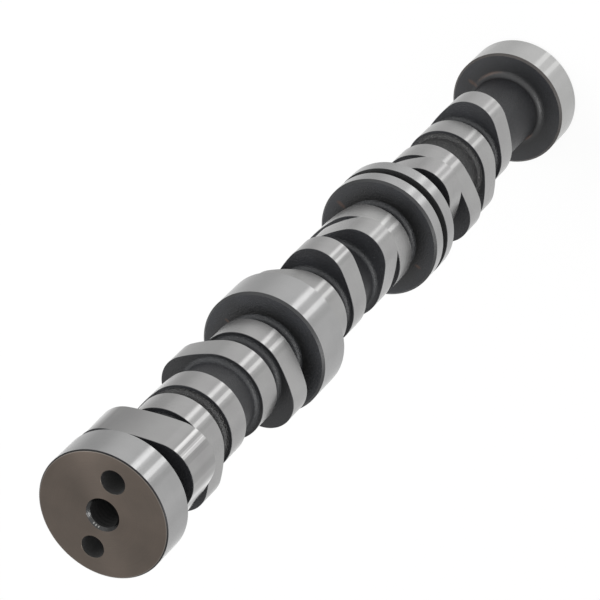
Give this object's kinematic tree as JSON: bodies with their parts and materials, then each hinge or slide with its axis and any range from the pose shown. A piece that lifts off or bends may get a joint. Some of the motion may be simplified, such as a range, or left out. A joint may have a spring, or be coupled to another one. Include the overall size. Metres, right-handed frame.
{
  "type": "camshaft",
  "caption": "Ground engine camshaft with round bearing journals, valve lobes in repeating bays, a wide three-nosed pump lobe and a drilled, threaded drive end.",
  "frame": {"origin": "centre of the far end face, the shaft's lowest point as it stands", "axes": "+Z along the shaft's axis from the plain far end to the drilled drive end, +X towards the larger side hole"},
  "size_m": [0.055, 0.055, 0.4093],
  "materials": {
    "camshaft": "ground journals and lobes, dark as-cast core and side faces, turned end face"
  },
  "bodies": {
    "root": {"camshaft": "camshaft"}
  },
  "joints": []
}
